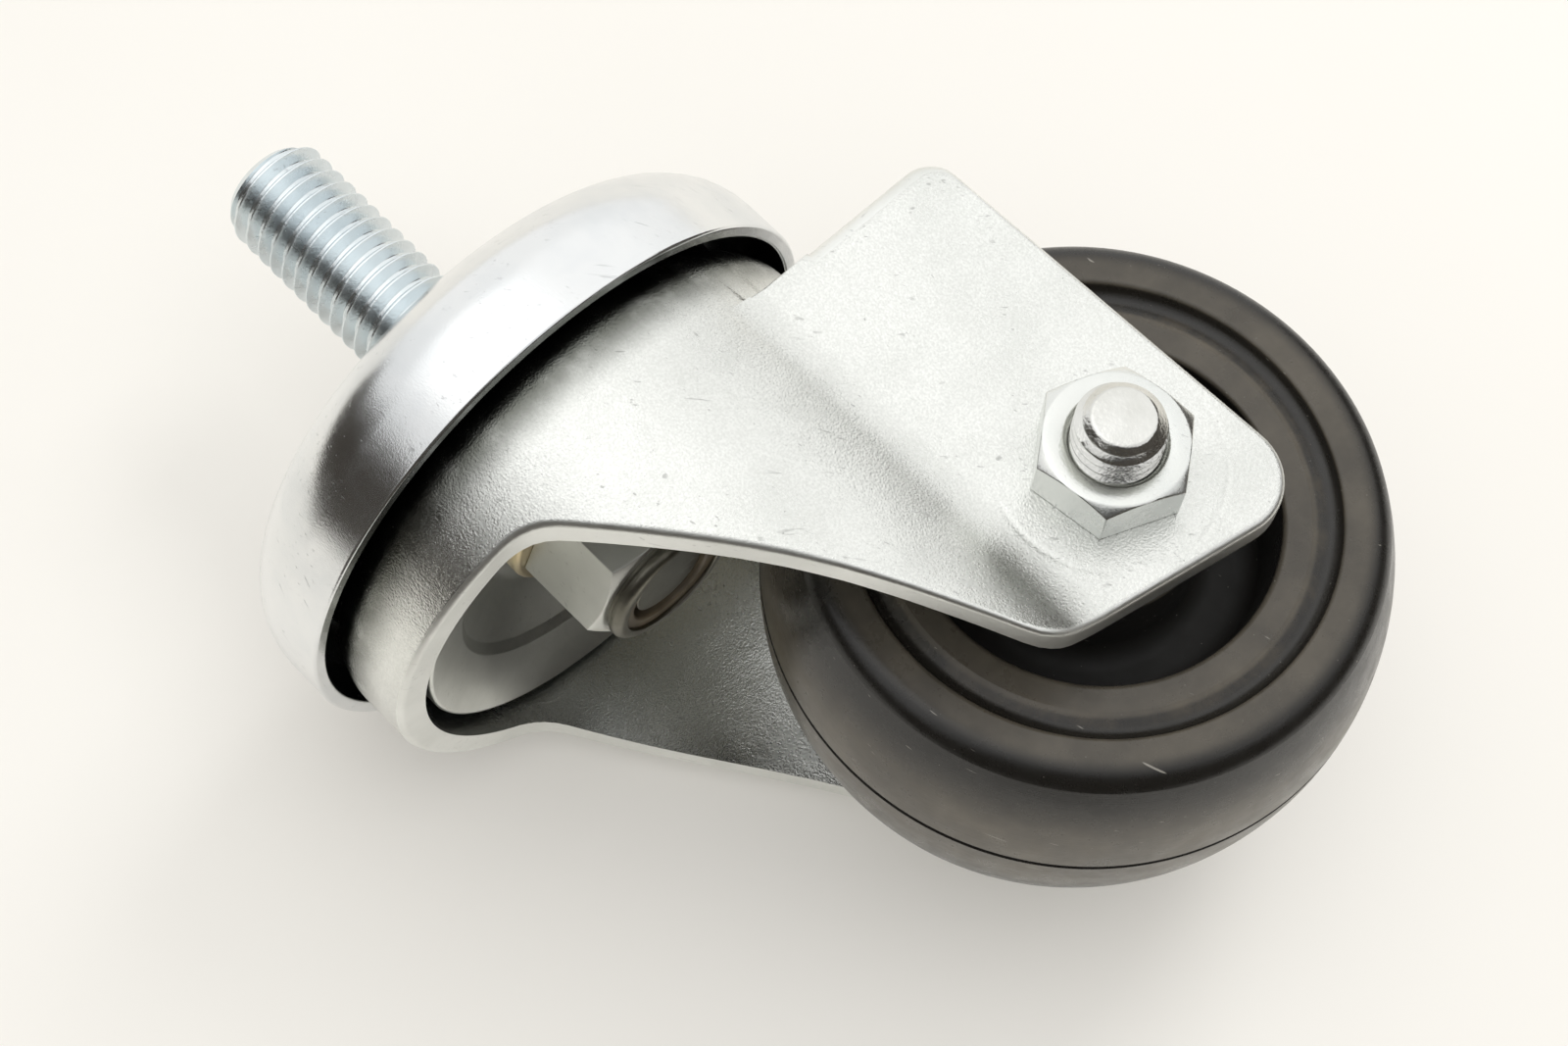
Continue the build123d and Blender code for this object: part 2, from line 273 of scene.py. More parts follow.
def shades(tree, value, stops):
    """Colours along a value."""
    made = put(tree, "ShaderNodeValToRGB", {"Fac": value})
    ramp = made.color_ramp
    while len(ramp.elements) < len(stops):
        ramp.elements.new(0.5)
    for element, (at, colour) in zip(ramp.elements, stops):
        element.position = at
        element.color = (*colour, 1)
    return made.outputs["Color"]


def mixed(tree, factor, first, second):
    """One colour laid over another by a factor."""
    made = put(tree, "ShaderNodeMix", {0: factor}, data_type="RGBA")
    for index, colour in ((6, first), (7, second)):
        if isinstance(colour, bpy.types.NodeSocket):
            tree.links.new(colour, made.inputs[index])
        else:
            made.inputs[index].default_value = (*colour, 1)
    return made.outputs[2]


def bumped(tree, surface, height, depth):
    """Raises the surface by a height, over a depth in millimetres, on top of any bump it has already."""
    made = put(tree, "ShaderNodeBump", {"Height": height, "Distance": depth / 1000, "Strength": 1.0})
    for link in surface.inputs["Normal"].links:
        tree.links.new(link.from_socket, made.inputs["Normal"])
    tree.links.new(made.outputs["Normal"], surface.inputs["Normal"])


print("helpers ready")

# %% [markdown]
# ### Zinc
#
# One recipe serves all the zinc and steel pieces: a pale metal with cloudy colour, roughness that wanders, orange
# peel in the bump, scratches as long thin streaks of noise, and small dark flecks where the plate is bruised. Each
# piece takes its own amounts, because the cup was bright-plated, the fork was tumbled, and the bolts and nuts came
# from elsewhere. Painted scratches would be truer to one castor, but these suit any piece and need no picture.

# %% Zinc recipe
SCRATCH_DEPTH = -0.002


def zinc(name, colour, other, roughness, peel, peel_depth, scratches, flecks):
    """Zinc plate: its two colours, roughness, orange peel in millimetres, and how much scratches and flecks show."""
    tree, surface, spot = new_finish(name, 1.0, roughness, colour)
    scratched = tuple(0.45 * c for c in colour)
    bruised = tuple(0.16 * c for c in colour)
    cloud = span(tree, grain(tree, spot, 9, 4, 0.6), 0.35, 0.7)
    fine = grain(tree, spot, 0.3, 2)
    streak = span(tree, grain(tree, spot, 0.24, 2, 0.5, (34, 1, 2), (10, 44, 15)), 0.66, 0.73)
    streak_two = span(tree, grain(tree, spot, 0.24, 2, 0.5, (1, 2, 30), (25, -20, 40)), 0.68, 0.75)
    patches = span(tree, grain(tree, spot, 5, 2), 0.42, 0.62)
    streaks = maths(tree, "MAXIMUM", streak, streak_two)
    worn = maths(tree, "MULTIPLY", streaks, maths(tree, "MULTIPLY", patches, scratches))
    fleck = span(tree, grain(tree, spot, 0.30, 3, 0.6), 0.68, 0.76)
    bruise = maths(tree, "MULTIPLY", fleck, span(tree, grain(tree, spot, 6, 2), 0.5, 0.66))
    bruise = maths(tree, "MULTIPLY", bruise, flecks)
    plate = mixed(tree, cloud, colour, other)
    plate = mixed(tree, maths(tree, "MULTIPLY", worn, 0.6), plate, scratched)
    tree.links.new(mixed(tree, bruise, plate, bruised), surface.inputs["Base Color"])
    clouded = span(tree, cloud, 0, 1, roughness, roughness + 0.07)
    rough = maths(tree, "ADD", clouded, maths(tree, "MULTIPLY", fine, 0.06))
    tree.links.new(maths(tree, "ADD", rough, maths(tree, "MULTIPLY", worn, 0.15)), surface.inputs["Roughness"])
    relief = maths(tree, "ADD", grain(tree, spot, peel, 3, 0.55), maths(tree, "MULTIPLY", fine, 0.2))
    bumped(tree, surface, relief, peel_depth)
    bumped(tree, surface, maths(tree, "ADD", worn, bruise), SCRATCH_DEPTH)
    return tree, surface, spot


zinc("bright_zinc", (0.82, 0.83, 0.83), (0.75, 0.77, 0.78), 0.14, 0.16, 0.009, 0.8, 0.8)
zinc("blue_zinc", (0.76, 0.81, 0.83), (0.66, 0.72, 0.75), 0.20, 0.30, 0.016, 0.5, 0.5)
zinc("dish_zinc", (0.82, 0.83, 0.79), (0.72, 0.73, 0.69), 0.30, 0.20, 0.010, 0.6, 0.3)
zinc("nut_zinc", (0.80, 0.81, 0.78), (0.72, 0.74, 0.72), 0.20, 0.18, 0.012, 0.7, 0.6)
zinc("lock_zinc", (0.82, 0.83, 0.79), (0.76, 0.77, 0.73), 0.46, 0.30, 0.010, 0.4, 0.3)
zinc("bolt_zinc", (0.78, 0.78, 0.75), (0.60, 0.60, 0.56), 0.16, 0.30, 0.03, 0.8, 0.9)
zinc("edge_zinc", (0.86, 0.87, 0.84), (0.78, 0.79, 0.76), 0.34, 0.25, 0.02, 0.6, 0.5)
# painted shade: a dark zinc for the kingpin's end and the lock nut's collar, standing for shadow and dark reflections
# there
zinc("shaded_zinc", (0.26, 0.25, 0.21), (0.13, 0.125, 0.10), 0.32, 0.30, 0.020, 0.5, 0.4)
zinc("yellow_zinc", (0.72, 0.60, 0.36), (0.60, 0.52, 0.36), 0.26, 0.6, 0.02, 0.5, 0.3)
zinc("race_steel", (0.12, 0.125, 0.12), (0.06, 0.065, 0.06), 0.22, 0.8, 0.03, 0.3, 0.3)
zinc("ball_steel", (0.34, 0.35, 0.36), (0.16, 0.17, 0.17), 0.10, 1.0, 0.01, 0.2, 0.0)
print("zinc and steel finishes ready")

# %% [markdown]
# ### The fork's zinc
#
# The fork has the same plate with deeper peel and a fine speckle in its colour, because its sheet was stretched in
# the press. A faint broken ring is left round the axle, where something round was once tightened down; it is a
# shallow bump by distance from the axle, which is simpler than cutting it and just as true at a few hundredths of a
# millimetre. The top of the skirt, under the cup's edge, gets painted shade and a painted dark reflection of the cup's
# inside, standing for the cup's shadow; it fades out unevenly over a few millimetres.

# %% Satin zinc with the ring round the axle
AXLE = Vector((24.2, 0, -44.4))
RING_RADIUS = 8.9
RING_DEPTH = -0.03
WAVE_DEPTH = 0.08
SHADE_LOW, SHADE_HIGH = -16.3, -12.6  # heights between which the painted shade thickens
SPECKLE = (0.38, 0.39, 0.36)
# the colour of the painted shade on the top of the skirt
SKIRT_SHADE = (0.09, 0.095, 0.078)


def from_axle(tree, spot):
    """The distance from the axle's line, and the place along it, in millimetres."""
    centred = put(tree, "ShaderNodeMapping", {"Vector": spot, "Location": -AXLE / 1000}).outputs[0]
    axes = put(tree, "ShaderNodeSeparateXYZ", {"Vector": centred})
    squares = [maths(tree, "MULTIPLY", axes.outputs[i], axes.outputs[i]) for i in (0, 2)]
    radius = maths(tree, "MULTIPLY", maths(tree, "SQRT", maths(tree, "ADD", *squares), 0.0), 1000.0)
    return radius, maths(tree, "MULTIPLY", axes.outputs[1], 1000.0)


tree, surface, spot = zinc("satin_zinc", (0.81, 0.82, 0.79), (0.75, 0.76, 0.73), 0.18, 0.18, 0.042, 1.0, 0.6)
radius, along = from_axle(tree, spot)
rising = span(tree, radius, RING_RADIUS - 0.4, RING_RADIUS)
ring = maths(tree, "MULTIPLY", rising, span(tree, radius, RING_RADIUS, RING_RADIUS + 0.4, 1.0, 0.0))
near_side = span(tree, along, -19.0, -18.0, 1.0, 0.0)
faint = maths(tree, "MULTIPLY", near_side, span(tree, grain(tree, spot, 6, 2), 0.42, 0.62))
bumped(tree, surface, maths(tree, "MULTIPLY", ring, faint), RING_DEPTH)
bumped(tree, surface, grain(tree, spot, 5, 2), WAVE_DEPTH)
height = maths(tree, "MULTIPLY", put(tree, "ShaderNodeSeparateXYZ", {"Vector": spot}).outputs[2], 1000.0)
shade_blotches = span(tree, grain(tree, spot, 3, 3), 0.25, 0.6, 0.7, 1.0)
# painted shade and painted reflection: the skirt's top darkens towards the cup's edge
painted_shade = maths(tree, "MULTIPLY", span(tree, height, SHADE_LOW, SHADE_HIGH, 0.0, 0.9), shade_blotches)
speckled = span(tree, grain(tree, spot, 0.22, 3, 0.6), 0.36, 0.62, 0.0, 0.17)
plate = mixed(tree, speckled, surface.inputs["Base Color"].links[0].from_socket, SPECKLE)
tree.links.new(mixed(tree, painted_shade, plate, SKIRT_SHADE), surface.inputs["Base Color"])
print("satin zinc ready")

# %% [markdown]
# ### Nylon and the wheel's moulding
#
# The nylon ring in the lock nut is soft and brown with oil, so it gets a little light inside. The wheel is a hard
# dark moulding: brown-black and half glossy. A brown haze on its rings and round the middle of its tread is partly
# rubbing and partly painted sheen, a painted reflection of the bright room; it is left off the parting line, and off
# the cove so that the cove stays dark as painted shade. There is some dust in the cove, a few specks and hairs, and
# fine turned lines from the mould. All of that depends on the distance from the axle and along it, so the finish
# reads both.

# %% Nylon and wheel
NYLON = (0.15, 0.12, 0.08)
OILY_NYLON = (0.09, 0.072, 0.048)
MOULDING = (0.011, 0.010, 0.0085)
# the colour of the brown haze, partly rubbing and partly painted sheen
RUBBED_SHEEN = (0.125, 0.109, 0.083)
DUST = (0.16, 0.125, 0.075)
SPECK = (0.38, 0.36, 0.32)

tree, surface, spot = new_finish("nylon", 0.0, 0.45, NYLON)
cloud = span(tree, grain(tree, spot, 2.5, 3), 0.3, 0.7)
tree.links.new(mixed(tree, cloud, NYLON, OILY_NYLON), surface.inputs["Base Color"])
surface.inputs["Subsurface Weight"].default_value = 0.1
surface.inputs["Subsurface Radius"].default_value = (0.001, 0.0008, 0.0005)
bumped(tree, surface, grain(tree, spot, 0.5, 2), 0.02)

tree, surface, spot = new_finish("wheel_moulding", 0.0, 0.3, MOULDING)
radius, along = from_axle(tree, spot)
side = maths(tree, "ABSOLUTE", along, 0.0)
# painted sheen, partly rubbing: on the rings and round the middle of the tread, where the bright room is reflected
sheen_on_rings = maths(tree, "MULTIPLY", span(tree, side, 11.2, 11.6), span(tree, radius, 20.6, 22.0, 1.0, 0.0))
sheen_on_tread = maths(tree, "MULTIPLY", span(tree, side, 3.0, 10.5, 1.0, 0.0), span(tree, radius, 22.6, 23.2))
in_cove = maths(tree, "MULTIPLY", span(tree, radius, 16.4, 17.0), span(tree, radius, 17.6, 18.3, 1.0, 0.0))
uneven_sheen = span(tree, grain(tree, spot, 5, 4, 0.65), 0.25, 0.75, 0.55, 1.0)
rub_and_sheen = maths(tree, "MULTIPLY", maths(tree, "ADD", maths(tree, "MULTIPLY", sheen_on_rings, 0.7), sheen_on_tread), uneven_sheen)
off_seam = span(tree, side, 0.28, 0.42)
rub_and_sheen = maths(tree, "MULTIPLY", rub_and_sheen, off_seam)
# painted shade: the sheen is taken out of the cove so that the cove stays dark
rim = maths(tree, "MULTIPLY", span(tree, radius, 16.9, 17.5), span(tree, radius, 18.9, 19.2, 1.0, 0.0))
rub_and_sheen = maths(tree, "MULTIPLY", rub_and_sheen, span(tree, rim, 0.0, 1.0, 1.0, 0.1))
dust = maths(tree, "MULTIPLY", in_cove, span(tree, grain(tree, spot, 3, 4, 0.7), 0.35, 0.7))
speck = put(tree, "ShaderNodeTexVoronoi", {"Vector": spot, "Scale": 1500.0}).outputs["Distance"]
thinned = span(tree, grain(tree, spot, 2.2, 2), 0.54, 0.60)
specks = maths(tree, "MULTIPLY", span(tree, speck, 0.03, 0.07, 1.0, 0.0), thinned)
hair = span(tree, grain(tree, spot, 0.25, 1, 0.5, (50, 1, 2), (0, 65, 20)), 0.76, 0.79)
tone = mixed(tree, rub_and_sheen, MOULDING, RUBBED_SHEEN)
dusty = mixed(tree, maths(tree, "MULTIPLY", dust, 0.18), tone, DUST)
marks = maths(tree, "MULTIPLY", maths(tree, "MAXIMUM", specks, hair), 0.6)
tree.links.new(mixed(tree, marks, dusty, SPECK), surface.inputs["Base Color"])
uneven = span(tree, grain(tree, spot, 2, 4, 0.6), 0.3, 0.7, 0.22, 0.32)
dull = maths(tree, "ADD", uneven, maths(tree, "MULTIPLY", rub_and_sheen, 0.06))
dull = maths(tree, "ADD", dull, span(tree, radius, 13.4, 14.6, 0.35, 0.0))
tree.links.new(dull, surface.inputs["Roughness"])
turning = {"W": maths(tree, "MULTIPLY", radius, 6.0), "Detail": 2.0}
ringed = put(tree, "ShaderNodeTexNoise", turning, noise_dimensions="1D")
height = maths(tree, "ADD", maths(tree, "MULTIPLY", ringed.outputs["Fac"], 0.6), grain(tree, spot, 0.6, 3))
bumped(tree, surface, height, 0.010)
print("nylon and moulding ready")

# %% [markdown]
# ## The cup
#
# The cup is drawn from thin sheet over a round punch, which gives its big soft shoulder and plain rim. Its
# section is spun about the stem; a subdivided cylinder would pinch at the shoulder.

# %% Cup
CUP = 25.9
CUP_WALL = 1.2
CUP_SHOULDER = 7.0
CUP_RIM = -11.0
CUP_HOLE = 4.95

cup = turned(
    "cup_dressed",
    [
        (CUP_HOLE, 0, 0.1),
        (CUP, 0, CUP_SHOULDER),
        (CUP, CUP_RIM, 0.25),
        (CUP - CUP_WALL, CUP_RIM, 0.25),
        (CUP - CUP_WALL, -CUP_WALL, CUP_SHOULDER - CUP_WALL),
        (CUP_HOLE, -CUP_WALL, 0.1),
    ],
    steps=192,
)
hand_over(cup, "cup", "head", "bright_zinc")

# %% [markdown]
# Grease from the balls has spread over the inside of the cup, so its inner faces get the dark steel finish. Two
# finishes on one piece are simpler than a painted mask, because the rim divides them. The same helper gives the end
# of the kingpin and the lock nut's collar a dark zinc that is painted shade, and the fork's cut edges their own
# finish.

# %% Grease inside the cup


def refinish(piece, wanted, finish):
    """Gives the faces whose middle passes a test, in millimetres, a second finish."""
    piece.data.materials.append(bpy.data.materials[finish + "_finish"])
    count = 0
    for face in piece.data.polygons:
        if wanted(face.center / MILLIMETRE):
            face.material_index = 1
            count += 1
    print(piece.name, "has", count, "faces in", finish)


def in_cup(spot):
    """Whether a point lies on the cup's inner face: past the middle of its wall, and above the rim's rounding."""
    reach = hypot(spot.x, spot.y)
    bend_reach = CUP - CUP_SHOULDER
    if reach > bend_reach and spot.z > -CUP_SHOULDER:
        return hypot(reach - bend_reach, spot.z + CUP_SHOULDER) < CUP_SHOULDER - CUP_WALL / 2
    if spot.z < -CUP_SHOULDER:
        return spot.z > CUP_RIM + 0.4 and reach < CUP - CUP_WALL / 2
    return spot.z < -CUP_WALL / 2


refinish(cup, in_cup, "race_steel")

# %% [markdown]
# ## Threads
#
# A rolled thread is a ridge with a flat crest and a round root that climbs one pitch a turn. The Screw modifier
# winds one pitch of its section round the axis. The winding runs past both ends and is then trimmed by a turned
# envelope with the real chamfers, which leaves the fading first turn that a real thread has.

# %% Thread helper
THREAD_DEPTH = 0.61  # of the pitch


def threaded(name, crest, pitch, low, high, envelope, steps=56):
    """A threaded rod about Z: crest radius, pitch, heights to wind between, and the trimming section."""
    root = crest - THREAD_DEPTH * pitch
    section = [
        (root, 0.0, 0),
        (root, 0.12 * pitch, 0.08 * pitch),
        (crest, 0.45 * pitch, 0.02 * pitch),
        (crest, 0.55 * pitch, 0.02 * pitch),
        (root, 0.88 * pitch, 0.08 * pitch),
        (root, pitch, 0),
    ]
    line = draw(name, [(p.x, 0, low + p.y) for p in rounded(section)], closed=False)
    bpy.ops.object.modifier_add(type="SCREW")
    winding = line.modifiers[-1]
    winding.screw_offset = pitch
    winding.iterations = ceil((high - low) / pitch)
    winding.steps = winding.render_steps = steps
    winding.use_merge_vertices = True
    bpy.ops.object.modifier_apply(modifier=winding.name)
    close_up(line)
    bpy.ops.object.mode_set(mode="EDIT")
    bpy.ops.mesh.select_all(action="SELECT")
    bpy.ops.mesh.fill_holes(sides=0)
    bpy.ops.mesh.normals_make_consistent(inside=False)
    bpy.ops.object.mode_set(mode="OBJECT")
    return cut(line, turned(name + "_envelope", envelope, 96), "INTERSECT")


# %% [markdown]
# ## The stem
#
# One turned piece: a long M10 thread above the cup, a plain neck, a collar that holds the upper race, a spindle,
# and a shorter M8 end for the lock nut. The two threads are wound and the plain middle is turned, and the three
# are joined into one.

# %% Stem
SHADED_BELOW = -14.5

stem = threaded(
    "stem_dressed",
    4.9,
    1.5,
    -3.0,
    28.0,
    [(0, 26, 0), (3.7, 26, 0.5), (4.9, 24.6, 0), (4.9, 0.1, 0), (3.9, -0.9, 0), (0, -0.9, 0)],
)
middle = turned(
    "stem_middle",
    [
        (0, 0.5, 0),
        (3.9, 0.5, 0),
        (4.5, -0.4, 0),
        (4.5, -2.5, 0),
        (8, -2.5, 0.2),
        (8, -4.5, 0.2),
        (5, -4.5, 0),
        (5, -11.236, 0.2),
        (0, -11.236, 0),
    ],
    96,
)
kingpin = threaded(
    "kingpin_end",
    3.9,
    1.25,
    -26.0,
    -7.0,
    [(0, -9, 0), (3.9, -9, 0), (3.9, -22.7, 0), (3.4, -23.237, 0.15), (0, -23.237, 0)],
    40,
)
cut(stem, middle, "UNION")
cut(stem, kingpin, "UNION")
hand_over(stem, "stem", "head", "blue_zinc")
# painted shade on the kingpin's end, inside the lock nut's collar
refinish(stem, lambda spot: spot.z < SHADED_BELOW, "shaded_zinc")

# %% [markdown]
# ## The fork
#
# The fork is one sheet, 2.4 mm thick, pressed in steps: a flat crown turned over into a round skirt, then bent
# outwards into two flat cheek plates, and trimmed from the side. It is made the same way here: half of its outer
# face is spun and extruded as a single sheet, mirrored, given its thickness, and trimmed by one side outline.
# Carving it from a block would lose the even sheet.

# %% Half of the sheet
SKIRT = 23.6
CROWN_TOP = -7.6
PLATE_TOP = -16.45
PLATE_FACE = 19.3
BEND = 7.0
SHEET = 2.4
CROWN_HOLE = 7.0
CROWN_BEND = 5.6
LEG_END = -60  # past the trimming line
PLATE_END = 37  # past the trimming line
REAR_DROP = 0.55  # of the crown's rear edge below the plates' top
SKIRT_STEPS = 64
BEND_STEPS = 14
REAR_STEPS = 28

bend_x = sqrt((SKIRT + BEND) ** 2 - (PLATE_FACE + BEND) ** 2)
bend_angle = atan2(PLATE_FACE + BEND, bend_x)
shoulder = rounded(
    [
        (CROWN_HOLE, CROWN_TOP, 0),
        (SKIRT, CROWN_TOP, CROWN_BEND),
        (SKIRT, LEG_END, 0),
        (CROWN_HOLE, LEG_END, 0),
    ]
)[:-2]
section = [(-p.x, 0, p.y) for p in shoulder] + [(-SKIRT, 0, z) for z in (PLATE_TOP, LEG_END)]
fork = draw("fork_dressed", section, closed=False)
bpy.ops.object.mode_set(mode="EDIT")
bpy.ops.mesh.select_all(action="SELECT")
bpy.ops.mesh.spin(steps=SKIRT_STEPS, angle=pi - bend_angle, center=(0, 0, 0), axis=(0, 0, -1))
bpy.ops.object.mode_set(mode="OBJECT")
print("bend starts at", round(degrees(bend_angle), 2), "degrees and ends at x", round(bend_x, 2))

# %% Bend, plate and rear of the crown
seam = Vector((cos(bend_angle), -sin(bend_angle)))


def at_seam(spot):
    """Whether a point lies on the line where the skirt starts to bend out."""
    return abs(atan2(spot.y, spot.x) + bend_angle) < 1e-4


pick(fork, lambda spot: at_seam(spot) and spot.z < PLATE_TOP + 1e-3)
bpy.ops.mesh.spin(
    steps=BEND_STEPS, angle=pi / 2 - bend_angle, center=(bend_x, -PLATE_FACE - BEND, 0), axis=(0, 0, 1)
)
pick(fork, lambda spot: abs(spot.x - bend_x) < 1e-3 and abs(spot.y + PLATE_FACE) < 1e-3)
bpy.ops.mesh.extrude_region_move(TRANSFORM_OT_translate={"value": (PLATE_END - bend_x, 0, 0)})
pick(fork, lambda spot: at_seam(spot) and hypot(spot.x, spot.y) < SKIRT + 1e-3 and spot.z > PLATE_TOP - 1e-3)
bpy.ops.mesh.spin(steps=REAR_STEPS, angle=bend_angle, center=(0, 0, 0), axis=(0, 0, -1))
bpy.ops.object.mode_set(mode="OBJECT")
pick(
    fork,
    lambda spot: abs(spot.z - PLATE_TOP) < 1e-3
    and abs(hypot(spot.x, spot.y) - SKIRT) < 4e-3
    and spot.x > SKIRT * seam.x + 0.2,
)
bpy.ops.transform.translate(value=(0, 0, -REAR_DROP))
bpy.ops.object.mode_set(mode="OBJECT")
print("half sheet has", len(fork.data.polygons), "faces")

# %% Mirror it and give it its thickness
bpy.ops.object.modifier_add(type="MIRROR")
mirror = fork.modifiers[-1]
mirror.use_axis = (False, True, False)
mirror.merge_threshold = 0.01
bpy.ops.object.modifier_apply(modifier=mirror.name)
close_up(fork)
crown_face = max(fork.data.polygons, key=lambda face: face.center.z)
if crown_face.normal.z < 0:
    bpy.ops.object.mode_set(mode="EDIT")
    bpy.ops.mesh.select_all(action="SELECT")
    bpy.ops.mesh.flip_normals()
    bpy.ops.object.mode_set(mode="OBJECT")
bpy.ops.object.modifier_add(type="SOLIDIFY")
wall = fork.modifiers[-1]
wall.thickness = SHEET
wall.offset = -1
wall.use_even_offset = True
bpy.ops.object.modifier_apply(modifier=wall.name)
print("sheet has", len(fork.data.polygons), "faces")

# %% [markdown]
# The trimming outline gets a point wherever the sheet has a column of vertices, so that no corner of the cut lands
# between two columns. The rounding of the edge can then follow the columns; a corner between them would fold it over
# its neighbour and open a crack along the whole leg. The block is drawn out in two steps, so that the long cut face
# round the front is split in the middle and stays easy to fill.

# %% Trim it from the side
HALF_DEPTH = 30  # of the trimming block
ARCH_START = -14  # x from which the line follows the columns

side_outline = [
    (-27, 0, 0),
    (-27, -17.78, 0),
    (-11, -19.5, 5.5),
    (1.7, -36.6, 100),
    (10.35, -51.8, 4.5),
    (34.7, -56.8, 5),
    (33.6, -16.46, 2.4),
    (20.5, -16.46, 0),
    (19.5, -15, 0),
    (27, -12, 0),
    (27, 0, 0),
]
trim = rounded(side_outline)
toe = next(i for i, p in enumerate(trim) if p.x > bend_x)
columns = [-SKIRT * cos((pi - bend_angle) * k / SKIRT_STEPS) for k in range(SKIRT_STEPS + 1)]
columns += [bend_x - BEND * sin((pi / 2 - bend_angle) * k / BEND_STEPS) for k in reversed(range(BEND_STEPS))]


def below(x):
    """The point of the trimming line's lower side at some x."""
    k = next(i for i in range(2, toe + 1) if trim[i].x >= x)
    return trim[k - 1].lerp(trim[k], (x - trim[k - 1].x) / (trim[k].x - trim[k - 1].x))


lower = [below(x) for x in columns if x > ARCH_START]
outline = draw("side_outline", [(p.x, -HALF_DEPTH, p.y) for p in trim[:2] + lower + trim[toe:]])
bpy.ops.object.mode_set(mode="EDIT")
bpy.ops.mesh.select_all(action="SELECT")
bpy.ops.mesh.edge_face_add()
for step in range(2):
    bpy.ops.mesh.extrude_region_move(TRANSFORM_OT_translate={"value": (0, HALF_DEPTH, 0)})
bpy.ops.object.mode_set(mode="OBJECT")
close_up(outline)
cut(fork, outline, "INTERSECT")
close_up(fork)
print("trimmed fork has", len(fork.data.polygons), "faces")

# %% [markdown]
# Shearing draws the outer edge of a sheet down before it breaks, so the outside of every cut edge is round and the
# inside stays sharp. The top edges of the plates were rolled over further. Each outer edge gets a bevel weight
# that says how round it is, and one Bevel modifier reads them all; equal bevels would make the sheet look cast.
# The weights fade to nothing at the inner corner where plate, skirt and crown meet, where a bevel would fold over.
# The axle holes are drilled last, so that their edges stay out of the rounding. The plate is rougher where it covers
# torn metal, so the cut edges get their own finish.

# %% Round the outer edges
ROLLED = 1.75
SHEARED = 0.6
ROLL_FADE = 0.45  # of the roll's width, for each millimetre below the plate's top
CORNER_CLEAR = 2.4  # round the inner corner, where nothing is rounded
CORNER_GROWTH = 0.22  # of the width, for each millimetre further out
HOLE = 3.55


def on_outside(spot):
    """Whether a point lies on the sheet's outer face: skirt, bend or plate."""
    x, y = spot.x, abs(spot.y)
    if x > bend_x - 0.01:
        return abs(y - PLATE_FACE) < 0.02
    if y > 0 and atan2(y, x) < bend_angle + 1e-3 and spot.z < PLATE_TOP + 0.02:
        return abs(hypot(x - bend_x, y - PLATE_FACE - BEND) - BEND) < 0.03 or abs(hypot(x, y) - SKIRT) < 0.03
    return abs(hypot(x, y) - SKIRT) < 0.03


bpy.ops.object.mode_set(mode="EDIT")
bpy.ops.mesh.select_mode(type="EDGE")
bpy.ops.mesh.select_all(action="DESELECT")
bpy.ops.mesh.edges_select_sharp(sharpness=radians(50))
bpy.ops.object.mode_set(mode="OBJECT")
weights = fork.data.attributes.new("bevel_weight_edge", "FLOAT", "EDGE")
corner = Vector((SKIRT * seam.x, SKIRT * abs(seam.y)))
rounded_edges = 0
for edge in fork.data.edges:
    ends = [fork.data.vertices[i].co for i in edge.vertices]
    if not edge.select or not all(on_outside(end) for end in ends):
        continue
    middle = (ends[0] + ends[1]) / 2
    top = middle.z > PLATE_TOP - 3 and middle.x > corner.x and abs(middle.y) > 18
    width = max(SHEARED, ROLLED - ROLL_FADE * (PLATE_TOP - middle.z)) if top else SHEARED
    if middle.z > PLATE_TOP - 1:
        reach = hypot(middle.x - corner.x, abs(middle.y) - corner.y)
        width = min(width, max(0, CORNER_GROWTH * (reach - CORNER_CLEAR)))
    weights.data[edge.index].value = width / ROLLED
    rounded_edges += 1
bpy.ops.object.modifier_add(type="BEVEL")
roll = fork.modifiers[-1]
roll.limit_method = "WEIGHT"
roll.width = ROLLED
roll.segments = 5
roll.use_clamp_overlap = False
bpy.ops.object.modifier_apply(modifier=roll.name)
print("edges rounded", rounded_edges)
bpy.ops.mesh.primitive_cylinder_add(vertices=64, radius=HOLE, depth=2 * HALF_DEPTH)
drill = place(bpy.context.object, AXLE, (90, 0, 0))
cut(fork, drill, "DIFFERENCE")
hand_over(fork, "fork", "fork", "satin_zinc")

# %% Finish of the cut edges


def in_cut(spot):
    """Whether a point lies on a cut edge: between the sheet's two faces, below the crown's bend."""
    x, y, z = spot.x, abs(spot.y), spot.z
    if z > PLATE_TOP + 0.02 or atan2(y, x) > bend_angle:
        depth = SKIRT - hypot(x, y)
    elif x > bend_x:
        depth = PLATE_FACE - y
    else:
        depth = hypot(x - bend_x, y - PLATE_FACE - BEND) - BEND
    return z < CROWN_TOP - CROWN_BEND - 0.3 and 0.04 < depth < SHEET - 0.04


refinish(fork, in_cut, "edge_zinc")

# %% [markdown]
# ## The dish and the washer under it
#
# The lower row of balls runs in a pressed dish that the lock nut pulls up. Both pieces are turned sections; the
# dish's soft steps catch the light through the fork's arch.

# %% Dish and washer
DISH_TOP = -11.237
DISH_UNDER = -12.537
WASHER_UNDER = -14.337

